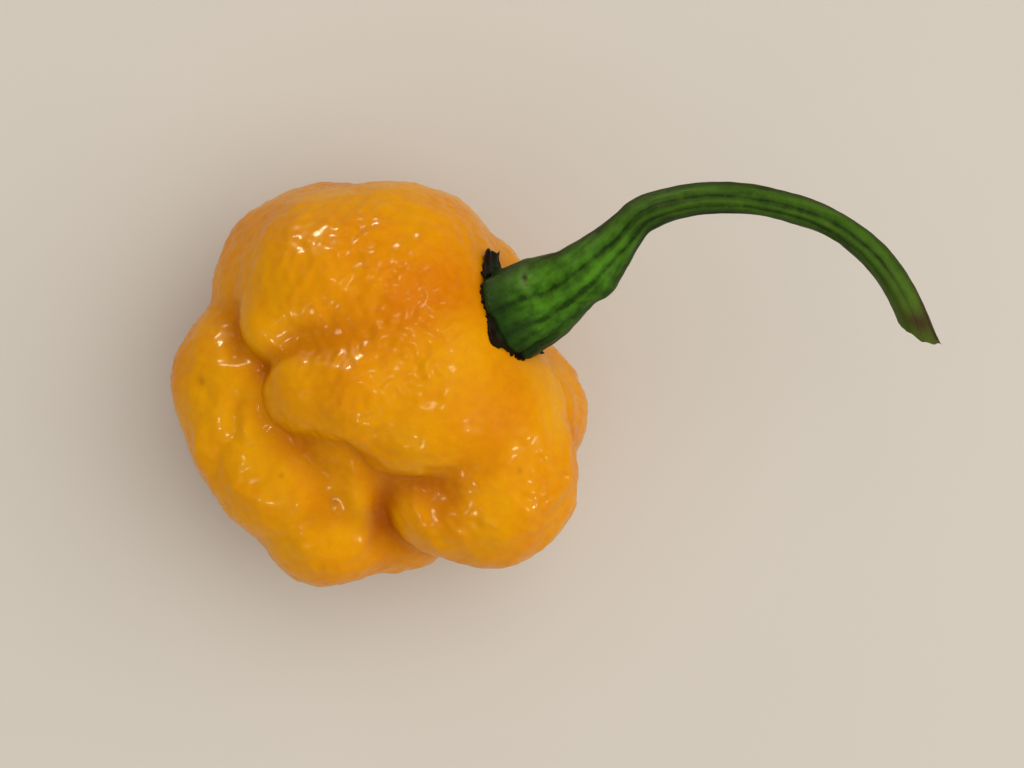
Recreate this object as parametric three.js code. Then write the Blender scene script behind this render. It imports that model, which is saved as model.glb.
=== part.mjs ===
// A ripe Scotch bonnet chilli pepper, picked with its stem, lying on its side.
//
// Frame: millimetres, +Z up, the table at Z = 0. The stem runs along +X.
// Everything is first drawn about the pod's heart, a point in the middle of the pod,
// and the finished group is then set down with its box centred on the origin.
//
// The pod is a sum of round lobes. From the heart, each lobe is a ball, and in any
// direction the skin lies where the farthest ball is left, with soft folds between balls.

import * as THREE from 'three';

// ---------------------------------------------------------------- driving dimensions

// The pod
const CORE_RADIUS = 13; // the ball at the heart that all lobes grow from
const FOLD_SOFTNESS = 1.34; // how gently a lobe's own edge fades, as a share of its radius
const REST_DEPTH = 17.3; // the underside is pressed flat this far below the heart
const POD_DETAIL = 16; // subdivisions of the icosahedron under the skin

// The lobes: middle (x, y, z from the heart), radius, and how softly each one
// grows out of the ones before it.
const LOBES = [
  // round the sides
  { name: 'back_left', at: [-6.0, 9.4, -1.0], radius: 11.5, blend: 0.7 },
  { name: 'back_right', at: [2.6, 10.2, -1.5], radius: 10.5, blend: 0.9 },
  { name: 'shoulder_back', at: [9.0, 9.0, -1.0], radius: 6.8, blend: 0.5 },
  { name: 'left', at: [-12.6, 0.1, 0.0], radius: 9.2, blend: 0.7 },
  { name: 'lower_left', at: [-11.6, -5.0, 0.0], radius: 8.4, blend: 0.9 },
  { name: 'low_front', at: [-9.0, -8.8, 0.0], radius: 8.4, blend: 0.7 },
  { name: 'blossom_end', at: [-5.4, -13.9, -1.5], radius: 7.5, blend: 0.7 },
  { name: 'blossom_right', at: [1.4, -11.4, -5.0], radius: 8.8, blend: 0.9 },
  { name: 'right_hip', at: [12.7, -3.2, -3.0], radius: 9.0, blend: 0.5 },
  // underneath
  { name: 'under_left', at: [-9.6, -1.4, -5.4], radius: 8.6, blend: 0.9 },
  { name: 'under_back_left', at: [-6.4, 7.2, -7.8], radius: 9.8, blend: 0.6 },
  { name: 'under_back_right', at: [5.6, 5.4, -8.4], radius: 9.5, blend: 0.8 },
  { name: 'under_front_left', at: [-5.2, -8.8, -8.2], radius: 9.4, blend: 0.6 },
  { name: 'under_front_right', at: [8.6, -5.6, -7.8], radius: 10.0, blend: 0.6 },
  { name: 'under_middle', at: [-0.6, -1.4, -6.4], radius: 9.8, blend: 1.0 },
  // on top
  { name: 'right', at: [11.6, -10.2, 2.0], radius: 9.0, blend: 0.5 },
  { name: 'right_fold', at: [6.9, -11.6, 3.0], radius: 6.3, blend: 0.5 },
  { name: 'right_upper', at: [11.4, -3.6, 4.6], radius: 8.0, blend: 1.4 },
  { name: 'shoulder', at: [6.9, 2.9, 5.1], radius: 9.0, blend: 1.0 },
  { name: 'crown_left', at: [-4.2, 9.6, 5.0], radius: 9.9, blend: 0.8 },
  { name: 'crown_right', at: [1.8, 9.8, 4.4], radius: 10.6, blend: 1.0 },
  { name: 'saddle', at: [3.6, 2.4, 6.4], radius: 8.8, blend: 1.4 },
  { name: 'knuckle', at: [-8.2, 6.4, 6.8], radius: 5.7, blend: 0.5 },
  { name: 'nose_left', at: [-6.0, -0.1, 9.2], radius: 4.8, blend: 0.5 },
  { name: 'nose', at: [-1.2, -0.4, 9.8], radius: 6.1, blend: 0.9 },
  { name: 'nose_tip', at: [3.4, -3.1, 9.2], radius: 5.7, blend: 0.7 },
  { name: 'nose_right', at: [7.0, -2.4, 8.0], radius: 6.8, blend: 1.2 },
  { name: 'cavity_ridge', at: [-3.2, -8.8, 1.8], radius: 6.4, blend: 0.5 },
];

// The calyx, the thin ragged collar that the stem stands on
const FOOT_AZIMUTH = THREE.MathUtils.degToRad(26); // from the heart towards the calyx
const FOOT_ELEVATION = THREE.MathUtils.degToRad(32.5);
const CALYX_RADIUS = 4.7;
const CALYX_THICKNESS = 0.6; // in the middle, under the stem
const CALYX_RIM_THICKNESS = 0.35;
const RIM_SHARPNESS = 4; // the raggedness fades inwards with this power of the radius
const CALYX_SIDES = 84;
const CALYX_RINGS = 5;
const CLEARANCE = 0.3; // between the pod, the calyx and the stem
// The rim's fine raggedness: waves round the rim, and how far each goes in and out.
const RIM_WAVES = [
  { waves: 7, reach: 0.08 },
  { waves: 17, reach: 0.05 },
];
// The collar's teeth: where round the rim (turns), how far out, and how wide (turns).
const CALYX_TEETH = [
  { turn: 0.97, reach: 1.8, width: 0.030 },
  { turn: 0.955, reach: 0.6, width: 0.012 },
  { turn: 0.99, reach: 0.6, width: 0.012 },
  { turn: 0.14, reach: 0.3, width: 0.020 },
  { turn: 0.28, reach: -0.6, width: 0.120 },
  { turn: 0.33, reach: 0.5, width: 0.030 },
  { turn: 0.46, reach: 0.7, width: 0.025 },
  { turn: 0.60, reach: 0.9, width: 0.030 },
  { turn: 0.74, reach: 1.2, width: 0.030 },
  { turn: 0.87, reach: 0.5, width: 0.025 },
];

// The stem, from the calyx to the cut tip
const STEM_SIDES = 24;
const STEM_STEPS = 50;
const STEM_STEP_GROWTH = 1.4; // the steps are short at the foot and grow along the stem
const FOOT_RINGS = 4;
const STEM_RIDGES = 5;
const RIDGE_DEPTH = 0.06; // share of the radius
const FOOT_HEIGHT = 4; // how far the foot runs straight out of the calyx
// The middle line after the foot, from the heart.
const STEM_ROUTE = [
  [21.0, 10.9, 15.4],
  [24.0, 13.6, 17.2],
  [26.5, 16.3, 18.7],
  [29.6, 17.4, 20.0],
  [33.5, 17.9, 20.7],
  [38.8, 17.4, 20.3],
  [44.5, 15.8, 18.6],
  [49.2, 12.9, 16.2],
  [52.5, 9.0, 13.8],
  [54.6, 5.2, 11.8],
];
// The radius along the stem: share of its length, radius.
const STEM_PROFILE = [
  [0.0, 4.2],
  [0.007, 4.65],
  [0.05, 4.1],
  [0.09, 3.5],
  [0.14, 2.95],
  [0.21, 2.6],
  [0.26, 2.1],
  [0.30, 1.82],
  [0.39, 1.6],
  [0.6, 1.38],
  [0.8, 1.42],
  [1.0, 1.5],
];
// The knee, a bump on the right of the stem where its foot ends.
const KNEE_AT = 0.2; // share of the length
const KNEE_LENGTH = 0.035;
const KNEE_REACH = 0.6;
const TIP_SLANT = 1.45; // how far the cut leans back along the stem, in radii
const TIP_SHARPNESS = 12; // the lean grows with this power of the share of the length

// ---------------------------------------------------------------- the pod's shape

// Where a ray from the heart leaves a ball, with the ball's own edge made gentle.
function exitDistance(direction, lobe) {
  const middle = new THREE.Vector3(...lobe.at);
  const along = direction.dot(middle);
  const depth = lobe.radius ** 2 - middle.lengthSq() + along ** 2;
  const softened = 0.5 * (depth + Math.sqrt(depth ** 2 + (FOLD_SOFTNESS * lobe.radius) ** 2));
  return along + Math.sqrt(softened);
}

// The larger of two lengths, rounded off where they are nearly equal.
function softMax(a, b, blend) {
  return Math.max(a, b) + blend * Math.log1p(Math.exp(-Math.abs(a - b) / blend));
}

// The skin's distance from the heart in a direction.
function skinRadius(direction) {
  return LOBES.reduce(
    (radius, lobe) => softMax(radius, exitDistance(direction, lobe), lobe.blend),
    CORE_RADIUS,
  );
}

// A point at a height above the skin, straight out from the heart.
function aboveSkin(direction, height) {
  return direction.clone().multiplyScalar(skinRadius(direction) + height);
}

// Moves each vertex of a geometry to where the given function sends it.
function mapVertices(geometry, place) {
  const position = geometry.getAttribute('position');
  const vertex = new THREE.Vector3();
  for (let i = 0; i < position.count; i += 1) {
    vertex.fromBufferAttribute(position, i);
    const placed = place(vertex);
    position.setXYZ(i, placed.x, placed.y, placed.z);
  }
  geometry.computeVertexNormals();
  return geometry;
}

// ---------------------------------------------------------------- the stem's foot

// From the heart towards the middle of the foot, and two directions across it:
// level, to the left of the stem, and upwards.
const footOut = new THREE.Vector3(
  Math.cos(FOOT_ELEVATION) * Math.cos(FOOT_AZIMUTH),
  Math.cos(FOOT_ELEVATION) * Math.sin(FOOT_AZIMUTH),
  Math.sin(FOOT_ELEVATION),
);
const footLeft = new THREE.Vector3(0, 0, 1).cross(footOut).normalize();
const footUp = footOut.clone().cross(footLeft);
const footDistance = skinRadius(footOut);

// The direction from the heart to a point at a radius and angle round the foot.
function footDirection(radius, angle) {
  const lean = radius / footDistance;
  return footOut
    .clone()
    .multiplyScalar(Math.cos(lean))
    .addScaledVector(footLeft, Math.sin(lean) * Math.cos(angle))
    .addScaledVector(footUp, Math.sin(lean) * Math.sin(angle));
}

// The way the stem leaves, square to the skin under the foot.
function footNormal() {
  const quarter = Math.PI / 2;
  const rim = [0, 1, 2, 3].map((n) => aboveSkin(footDirection(CALYX_RADIUS, n * quarter), 0));
  const across = rim[0].clone().sub(rim[2]);
  const upwards = rim[1].clone().sub(rim[3]);
  return across.cross(upwards).normalize();
}

// ---------------------------------------------------------------- pod

function makePod() {
  const skin = new THREE.IcosahedronGeometry(1, POD_DETAIL);
  return mapVertices(skin, (vertex) => {
    const point = aboveSkin(vertex.clone().normalize(), 0);
    point.z = Math.max(point.z, -REST_DEPTH);
    return point;
  });
}

// ---------------------------------------------------------------- calyx

// How far the ragged rim reaches at an angle, as a share of the calyx's radius.
function rimReach(angle) {
  const turn = angle / (2 * Math.PI);
  let reach = 0;
  for (const ripple of RIM_WAVES) {
    reach += ripple.reach * Math.sin(ripple.waves * angle);
  }
  for (const tooth of CALYX_TEETH) {
    const away = Math.abs(((turn - tooth.turn + 1.5) % 1) - 0.5);
    reach += tooth.reach * Math.exp(-((away / tooth.width) ** 2));
  }
  return 1 + reach / CALYX_RADIUS;
}

function makeCalyx() {
  const profile = [new THREE.Vector2(0, 0)];
  for (let ring = 1; ring <= CALYX_RINGS; ring += 1) {
    profile.push(new THREE.Vector2(ring / CALYX_RINGS, 0));
  }
  for (let ring = CALYX_RINGS; ring > 0; ring -= 1) {
    const share = ring / CALYX_RINGS;
    const height = THREE.MathUtils.lerp(CALYX_THICKNESS, CALYX_RIM_THICKNESS, share ** 2);
    profile.push(new THREE.Vector2(share, height));
  }
  profile.push(new THREE.Vector2(0, CALYX_THICKNESS));

  const collar = new THREE.LatheGeometry(profile, CALYX_SIDES);
  return mapVertices(collar, (vertex) => {
    const share = Math.hypot(vertex.x, vertex.z);
    const angle = Math.atan2(vertex.x, vertex.z);
    const spread = THREE.MathUtils.lerp(1, rimReach(angle), share ** RIM_SHARPNESS);
    const direction = footDirection(share * CALYX_RADIUS * spread, angle);
    return aboveSkin(direction, CLEARANCE + vertex.y);
  });
}

// ---------------------------------------------------------------- stem

// The stem's mean radius at a share of its length, in straight lines between the given ones.
function meanRadius(share) {
  const next = Math.max(1, STEM_PROFILE.findIndex(([at]) => at >= share));
  const [startAt, startRadius] = STEM_PROFILE[next - 1];
  const [endAt, endRadius] = STEM_PROFILE[next];
  return THREE.MathUtils.mapLinear(share, startAt, endAt, startRadius, endRadius);
}

// The radius at an angle round the stem, with its ridges and its knee.
function stemRadius(share, angle) {
  const ridge = 1 + RIDGE_DEPTH * Math.cos(STEM_RIDGES * angle);
  const kneeHeight = KNEE_REACH * Math.exp(-(((share - KNEE_AT) / KNEE_LENGTH) ** 2));
  const kneeSide = Math.max(0, -Math.cos(angle)) ** 2;
  return meanRadius(share) * ridge + kneeHeight * kneeSide;
}

function makeStem() {
  const foot = aboveSkin(footOut, 2 * CLEARANCE + CALYX_THICKNESS);
  const middleLine = new THREE.CatmullRomCurve3([
    foot,
    foot.clone().addScaledVector(footNormal(), FOOT_HEIGHT),
    ...STEM_ROUTE.map((point) => new THREE.Vector3(...point)),
  ], false, 'centripetal');

  const profile = [new THREE.Vector2(0, 0)];
  for (let ring = 1; ring < FOOT_RINGS; ring += 1) {
    profile.push(new THREE.Vector2(ring / FOOT_RINGS, 0));
  }
  for (let step = 0; step <= STEM_STEPS; step += 1) {
    profile.push(new THREE.Vector2(1, (step / STEM_STEPS) ** STEM_STEP_GROWTH));
  }
  profile.push(new THREE.Vector2(0, 1));

  const rod = new THREE.LatheGeometry(profile, STEM_SIDES);
  return mapVertices(rod, (vertex) => {
    const share = vertex.y;
    const angle = Math.atan2(vertex.x, vertex.z);
    const radius = Math.hypot(vertex.x, vertex.z) * stemRadius(share, angle);
    if (share === 0) {
      return aboveSkin(footDirection(radius, angle), 2 * CLEARANCE + CALYX_THICKNESS);
    }
    const along = middleLine.getTangentAt(share);
    const left = new THREE.Vector3(0, 0, 1).cross(along).normalize();
    const up = along.clone().cross(left);
    const slant = TIP_SLANT * radius * Math.cos(angle) * share ** TIP_SHARPNESS;
    return middleLine
      .getPointAt(share)
      .addScaledVector(left, radius * Math.cos(angle))
      .addScaledVector(up, radius * Math.sin(angle))
      .addScaledVector(along, slant);
  });
}

// ---------------------------------------------------------------- the whole pepper

const podSkin = new THREE.MeshStandardMaterial({ color: '#dc8a0a', roughness: 0.3, metalness: 0 });
const calyxRind = new THREE.MeshStandardMaterial({ color: '#3a3a1c', roughness: 0.7, metalness: 0 });
const stemRind = new THREE.MeshStandardMaterial({ color: '#355818', roughness: 0.5, metalness: 0 });

function namedMesh(name, geometry, material) {
  const mesh = new THREE.Mesh(geometry, material);
  mesh.name = name;
  return mesh;
}

const group = new THREE.Group();
group.add(namedMesh('pod', makePod(), podSkin));
group.add(namedMesh('calyx', makeCalyx(), calyxRind));
group.add(namedMesh('stem', makeStem(), stemRind));

const box = new THREE.Box3().setFromObject(group);
const middle = box.getCenter(new THREE.Vector3());
group.position.set(-middle.x, -middle.y, -box.min.z);
group.updateMatrixWorld(true);

export default group;
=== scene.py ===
# %% [markdown]
# # A Scotch bonnet pepper, picked with its stem
#
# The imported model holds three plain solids: the pod, the calyx and the stem. This lesson builds
# the surface that one sees on each of them, in the same place and at the same size. A plant has
# no flat faces and no sharp tools behind it, so every piece here is a closed skin worked out from
# a formula on a fine grid, and the materials are built from nodes.

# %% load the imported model
import math

import bpy
import numpy as np
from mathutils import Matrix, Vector


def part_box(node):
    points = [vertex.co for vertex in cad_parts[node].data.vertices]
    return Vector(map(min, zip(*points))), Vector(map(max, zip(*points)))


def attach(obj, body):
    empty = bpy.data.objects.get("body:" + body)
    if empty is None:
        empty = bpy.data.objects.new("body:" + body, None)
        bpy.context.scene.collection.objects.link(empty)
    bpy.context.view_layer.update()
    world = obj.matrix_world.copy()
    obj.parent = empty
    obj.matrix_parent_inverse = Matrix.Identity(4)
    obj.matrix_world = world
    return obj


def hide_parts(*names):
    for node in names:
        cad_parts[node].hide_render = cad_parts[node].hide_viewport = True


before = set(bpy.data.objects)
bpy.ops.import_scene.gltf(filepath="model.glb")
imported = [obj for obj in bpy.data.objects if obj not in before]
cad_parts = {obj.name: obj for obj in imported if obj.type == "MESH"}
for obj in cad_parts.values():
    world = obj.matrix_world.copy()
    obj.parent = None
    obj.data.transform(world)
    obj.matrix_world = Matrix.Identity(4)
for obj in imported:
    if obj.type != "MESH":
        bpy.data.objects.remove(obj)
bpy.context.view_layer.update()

# %% [markdown]
# ## The shape of the skin
#
# A bonnet pepper is a handful of swollen lobes that press into each other. Sculpting it by hand
# would give a shape that nobody can adjust. Here each lobe is a ball, and the skin is a distance
# from one point inside the pod, its heart: in each direction it lies where the farthest ball is
# left. A soft maximum rounds the fold between two lobes, and the fold's softness is a number.

# %% the lobes, in millimetres from the heart
CORE_RADIUS = 13
FOLD_SOFTNESS = 1.34
REST_DEPTH = 17.3

# Each lobe: the middle of its ball x, y, z, its radius, and how softly it joins the ones before.
SIDE_LOBES = (
    (-6.0, 9.4, -1.0, 11.5, 0.7),
    (2.6, 10.2, -1.5, 10.5, 0.9),
    (9.0, 9.0, -1.0, 6.8, 0.5),
    (-12.6, 0.1, 0.0, 9.2, 0.7),
    (-11.6, -5.0, 0.0, 8.4, 0.9),
    (-9.0, -8.8, 0.0, 8.4, 0.7),
    (-5.4, -13.9, -1.5, 7.5, 0.7),
    (1.4, -11.4, -5.0, 8.8, 0.9),
    (12.7, -3.2, -3.0, 9.0, 0.5),
)
UNDER_LOBES = (
    (-9.6, -1.4, -5.4, 8.6, 0.9),
    (-6.4, 7.2, -7.8, 9.8, 0.6),
    (5.6, 5.4, -8.4, 9.5, 0.8),
    (-5.2, -8.8, -8.2, 9.4, 0.6),
    (8.6, -5.6, -7.8, 10.0, 0.6),
    (-0.6, -1.4, -6.4, 9.8, 1.0),
)
TOP_LOBES = (
    (11.6, -10.2, 2.0, 9.0, 0.5),
    (6.9, -11.6, 3.0, 6.3, 0.5),
    (11.4, -3.6, 4.6, 8.0, 1.4),
    (6.9, 2.9, 5.1, 9.0, 1.0),
    (-4.2, 9.6, 5.0, 9.9, 0.8),
    (1.8, 9.8, 4.4, 10.6, 1.0),
    (3.6, 2.4, 6.4, 8.8, 1.4),
    (-8.2, 6.4, 6.8, 5.7, 0.5),
    (-6.0, -0.1, 9.2, 4.8, 0.5),
    (-1.2, -0.4, 9.8, 6.1, 0.9),
    (3.4, -3.1, 9.2, 5.7, 0.7),
    (7.0, -2.4, 8.0, 6.8, 1.2),
    (-3.2, -8.8, 1.8, 6.4, 0.5),
)


def soft_max(first, second, blend):
    """The larger of two lengths, rounded off where they are nearly equal:
    the maximum, plus blend times the logarithm of 1 + exp(-difference / blend)."""
    gap = np.abs(first - second)
    return np.maximum(first, second) + blend * np.log1p(np.exp(-gap / blend))


def skin_radius(directions):
    """The skin's distance from the heart in each direction. A ray leaves a ball at
    along + sqrt(depth), where along is how far the ball's middle lies down the ray and
    depth is radius^2 - |middle|^2 + along^2, which is softened so that it is never negative."""
    distance = np.full(directions.shape[:-1], float(CORE_RADIUS))
    for x, y, z, radius, blend in SIDE_LOBES + UNDER_LOBES + TOP_LOBES:
        along = directions @ np.array((x, y, z))
        depth = radius**2 - (x * x + y * y + z * z) + along**2
        softened = 0.5 * (depth + np.sqrt(depth**2 + (FOLD_SOFTNESS * radius) ** 2))
        distance = soft_max(distance, along + np.sqrt(softened), blend)
    return distance


# %% [markdown]
# ## Round the calyx
#
# The calyx and the stem's foot follow the skin, so they need a way to say where they are on it:
# a radius and an angle round the point where the stem leaves. The pod's own grid is drawn from
# the same point, which hides one of its poles under the calyx.

# %% directions round the foot of the stem
FOOT_AZIMUTH = math.radians(26)
FOOT_ELEVATION = math.radians(32.5)

foot_out = np.array((
    math.cos(FOOT_ELEVATION) * math.cos(FOOT_AZIMUTH),
    math.cos(FOOT_ELEVATION) * math.sin(FOOT_AZIMUTH),
    math.sin(FOOT_ELEVATION),
))
foot_left = np.cross((0, 0, 1), foot_out)
foot_left /= np.linalg.norm(foot_left)
foot_up = np.cross(foot_out, foot_left)


def directions_round_foot(lean, angle):
    """Unit vectors that lean from the foot's direction by one angle, at another angle round it:
    cos(lean) * out + sin(lean) * (cos(angle) * left + sin(angle) * up)."""
    lean, angle = np.broadcast_arrays(lean, angle)
    across = np.cos(angle)[..., None] * foot_left + np.sin(angle)[..., None] * foot_up
    return np.cos(lean)[..., None] * foot_out + np.sin(lean)[..., None] * across


foot_distance = float(skin_radius(foot_out))
print("the skin is", round(foot_distance, 2), "mm from the heart where the stem leaves")

# %% [markdown]
# ## Grids that become meshes
#
# Each piece is a grid of points: rows run from one pole to the other and columns run round.
# Filling a mesh vertex by vertex is slow in Python, so the corner numbers of all faces are worked
# out as whole arrays too. The last column is joined to the first and each pole is one point, so
# that the skin has no seam and no hole. Its volume tells which way its faces point.

# %% a closed mesh from a grid of points
MM = 0.001


def closed_mesh(name, rows, attributes):
    """A mesh from rows of points in metres. The first and last rows are poles, so only their
    first point is used. Attributes are one number, or one vector, for each point of the grid."""
    count, round_count = rows.shape[:2]
    inner = np.arange((count - 2) * round_count).reshape(count - 2, round_count)
    first_pole, last_pole = inner.size, inner.size + 1
    nearer, farther = inner[:-1], inner[1:]
    quads = np.stack((nearer, np.roll(nearer, -1, 1), np.roll(farther, -1, 1), farther), -1)
    start_fan = np.stack(np.broadcast_arrays(first_pole, np.roll(inner[0], -1), inner[0]), -1)
    end_fan = np.stack(np.broadcast_arrays(last_pole, inner[-1], np.roll(inner[-1], -1)), -1)
    loops = np.concatenate((quads.ravel(), start_fan.ravel(), end_fan.ravel()))
    sizes = np.repeat((4, 3), (quads.size // 4, 2 * round_count))

    def flat(values):
        tail = values.shape[2:]
        return np.concatenate((values[1:-1].reshape(-1, *tail), values[:1, 0], values[-1:, 0]))

    mesh = bpy.data.meshes.new(name)
    mesh.vertices.add(inner.size + 2)
    mesh.vertices.foreach_set("co", flat(rows).astype(np.float32).ravel())
    mesh.loops.add(loops.size)
    mesh.loops.foreach_set("vertex_index", loops.astype(np.int32))
    mesh.polygons.add(sizes.size)
    starts = np.concatenate(((0,), np.cumsum(sizes)[:-1]))
    mesh.polygons.foreach_set("loop_start", starts.astype(np.int32))
    mesh.polygons.foreach_set("use_smooth", np.ones(sizes.size, bool))
    mesh.update(calc_edges=True)
    for label, values in attributes.items():
        kind, field = ("FLOAT_VECTOR", "vector") if values.ndim == 3 else ("FLOAT", "value")
        layer = mesh.attributes.new(label, kind, "POINT")
        layer.data.foreach_set(field, flat(values).astype(np.float32).ravel())
    return mesh


def volume_of(mesh):
    """The volume inside a closed mesh: the sum over its triangles of a . (b x c) / 6.
    It is positive when the faces point outwards."""
    mesh.calc_loop_triangles()
    corners = np.empty(len(mesh.loop_triangles) * 3, np.int32)
    mesh.loop_triangles.foreach_get("vertices", corners)
    places = np.empty(len(mesh.vertices) * 3, np.float32)
    mesh.vertices.foreach_get("co", places)
    a, b, c = places.reshape(-1, 3)[corners.reshape(-1, 3)].astype(float).transpose(1, 0, 2)
    return float((a * np.cross(b, c)).sum() / 6)


def show_piece(name, rows, attributes):
    """Puts a grid into the scene as a piece of its own, which stands for the solid of its name.
    Where the columns run the other way round, the faces come out pointing in and are turned."""
    mesh = closed_mesh(name, rows, attributes)
    if volume_of(mesh) < 0:
        mesh.flip_normals()
    piece = bpy.data.objects.new(name + "_skin", mesh)
    bpy.context.scene.collection.objects.link(piece)
    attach(piece, "root")
    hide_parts(name)
    cubic_cm = volume_of(mesh) * 1e6
    print(name, "has", len(mesh.loop_triangles), "triangles and holds", round(cubic_cm, 2), "cubic cm")
    return piece


# %% [markdown]
# ## Bumps and dimples
#
# Up close the skin isn't smooth: it swells between its folds, it is dimpled like hammered metal
# at one or two millimetres, and that breaks each reflection into small bright squiggles. A
# texture could fake this, but the outline would stay smooth, so the bumps are real. A sum of
# sine waves in random directions is a simple random height with a known bump size and no seam.

# %% a random height made of sine waves
def ripples(points, shortest, longest, count, seed):
    """A random height at each point, mostly between -2 and 2: the sum of sine waves, each with
    its own direction, phase and length between two limits, over the square root of half their
    number."""
    random = np.random.default_rng(seed)
    total = np.zeros(points.shape[:-1])
    for _ in range(count):
        direction = random.normal(size=3)
        direction *= 2 * math.pi / (np.linalg.norm(direction) * random.uniform(shortest, longest))
        total += np.sin(points @ direction + random.uniform(0, 2 * math.pi))
    return total / math.sqrt(count / 2)


def smooth_step(start, end, value):
    """0 up to start, 1 from end on, and the cubic 3t^2 - 2t^3 between them."""
    share = np.clip((value - start) / (end - start), 0, 1)
    return share * share * (3 - 2 * share)


# %% [markdown]
# ## Creases and ridges
#
# The balls give the big folds. The narrow ones, where two lobes are pinched together, are drawn
# as lines over the pod: a few places seen from above, dropped onto the skin. A crease is a dip
# that fades with the distance from its line, and a ridge is the same with its sign turned. A small
# swelling needs only one place.

# %% lines and places on the skin
HIGHEST = 22
PLUMB_STEPS = 1600


def on_skin(x, y):
    """The highest point of the skin over a place x, y: of the heights along that plumb line,
    the largest one that is no farther from the heart than the skin is."""
    heights = np.linspace(-REST_DEPTH, HIGHEST, PLUMB_STEPS)
    points = np.stack((np.full_like(heights, x), np.full_like(heights, y), heights), -1)
    lengths = np.linalg.norm(points, axis=-1)
    inside = lengths <= skin_radius(points / lengths[:, None])
    return points[np.flatnonzero(inside)[-1]]


def near_line(points, places, width):
    """1 on a line over the skin, fading to 0 away from it as exp(-(distance / width)^2),
    and fading towards the line's two ends as 1 - (2 * share - 1)^2."""
    route = [on_skin(x, y) for x, y in places]
    nearest = np.full(points.shape[:-1], np.inf)
    share = np.zeros(points.shape[:-1])
    for number, (start, end) in enumerate(zip(route, route[1:])):
        span = end - start
        along = np.clip((points - start) @ span / (span @ span), 0, 1)
        distance = np.linalg.norm(points - start - along[..., None] * span, axis=-1)
        share = np.where(distance < nearest, (number + along) / (len(route) - 1), share)
        nearest = np.minimum(nearest, distance)
    return np.exp(-((nearest / width) ** 2)) * (1 - (2 * share - 1) ** 2)


def near_place(points, x, y, reach):
    """1 at a place on the skin, fading away from it as exp(-(distance / reach)^2)."""
    away = np.linalg.norm(points - on_skin(x, y), axis=-1)
    return np.exp(-((away / reach) ** 2))


# %% where the creases, ridges and swellings are
# Each crease: its places as x, y, its width, and how far it sinks in.
CREASES = (
    (((1.3, -8.9), (0.7, -11.0), (0.4, -12.8), (0.8, -15.3)), 1.1, 0.45),
    (((-8.9, -6.0), (-4.7, -6.3), (-3.0, -6.4), (-1.9, -7.4), (-0.6, -8.9), (1.6, -10.4)), 0.8, 0.5),
    (((-9.3, 3.2), (-10.9, 1.6), (-11.5, -0.4)), 1.1, 0.25),
    (((-3.4, 6.4), (-7.0, 5.0), (-8.6, 3.8), (-10.3, 2.0)), 1.0, 0.35),
    (((-14.4, 8.6), (-14.6, 5.0), (-14.2, 2.8), (-11.4, 1.8)), 1.2, 0.7),
    (((-14.3, -0.4), (-14.2, -3.4), (-14.8, -6.6)), 1.1, 0.5),
    (((-13.4, -5.0), (-16.0, -6.8), (-16.8, -10.0)), 1.0, 0.45),
    (((15.6, 4.4), (18.9, 0.4), (19.7, -2.0), (20.0, -4.5), (19.3, -9.6)), 0.6, 0.4),
    (((4.2, -13.4), (7.0, -12.4), (9.8, -11.2)), 1.8, 0.45),
    (((-18.8, 1.0), (-17.8, -0.6), (-16.8, -2.8)), 0.9, 0.4),
    (((-11.6, -14.6), (-9.8, -13.0), (-8.6, -10.8)), 1.3, 0.3),
    (((-5.8, -12.4), (-4.1, -11.8), (-2.6, -12.6)), 1.0, 0.25),
    (((-1.2, -19.0), (-0.4, -16.8), (0.6, -14.8)), 0.9, 0.35),
)
# Each ridge: its places, its width, and how far it stands out.
RIDGES = (
    (((-2.5, -7.8), (-2.0, -11.0), (-1.3, -15.4)), 1.0, 0.35),
    (((-18.0, 1.2), (-13.6, 1.8), (-11.6, 1.9)), 0.8, 0.5),
    (((-13.1, -1.4), (-13.3, -3.8), (-13.6, -6.4)), 0.8, 0.35),
    (((-12.4, 0.8), (-11.2, -1.0), (-10.5, -2.6), (-9.4, -4.2), (-7.2, -5.6)), 1.5, 0.7),
    (((-17.8, -3.8), (-18.4, -6.5), (-18.0, -9.6)), 0.9, 0.5),
    (((-9.6, -4.4), (-6.9, -4.4), (-4.7, -4.7), (-2.9, -4.9), (-1.0, -6.0), (0.6, -7.6),
      (3.6, -8.8)), 1.0, 0.3),
    (((-15.6, -9.4), (-13.2, -11.6), (-10.6, -12.2)), 1.0, 0.35),
    (((-9.2, -17.6), (-7.2, -16.4), (-4.2, -15.6)), 1.0, 0.3),
)
# Each small swelling: its place x, y, its reach, and how far it stands out.
SWELLINGS = (
    (-11.9, 5.4, 2.4, 0.8),
    (19.4, -7.4, 2.4, 0.5),
    (-7.0, -16.8, 1.3, 0.3),
    (-4.6, -15.2, 1.2, 0.25),
)

# %% [markdown]
# ## The pod
#
# The grid's rows go from the calyx to the far side. First the smooth skin is worked out, then the
# creases, then the bumps, each pushed out square to the skin. The bumps fade under the calyx,
# where it has to sit flat. Last, the underside is pressed flat where the pod rests on the table.

# %% the pod's grid
POD_ROWS = 226
POD_COLUMNS = 428
TINY = 1e-12

pod_lean = np.linspace(0, math.pi, POD_ROWS)[:, None]
pod_angle = np.arange(POD_COLUMNS) * (2 * math.pi / POD_COLUMNS)
pod_directions = directions_round_foot(pod_lean, pod_angle)
pod_radius = skin_radius(pod_directions)
pod_smooth = pod_directions * pod_radius[..., None]


def square_to(rows):
    """The direction square to a grid at each of its points: the cross product of the step to
    the next row and the step to the next column, made one unit long. It points out of the pod,
    but into the stem, whose columns run the other way round."""
    down = np.gradient(rows, axis=0)
    across = np.roll(rows, -1, 1) - np.roll(rows, 1, 1)
    square = np.cross(down, across)
    return square / np.maximum(np.linalg.norm(square, axis=-1, keepdims=True), TINY)


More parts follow.
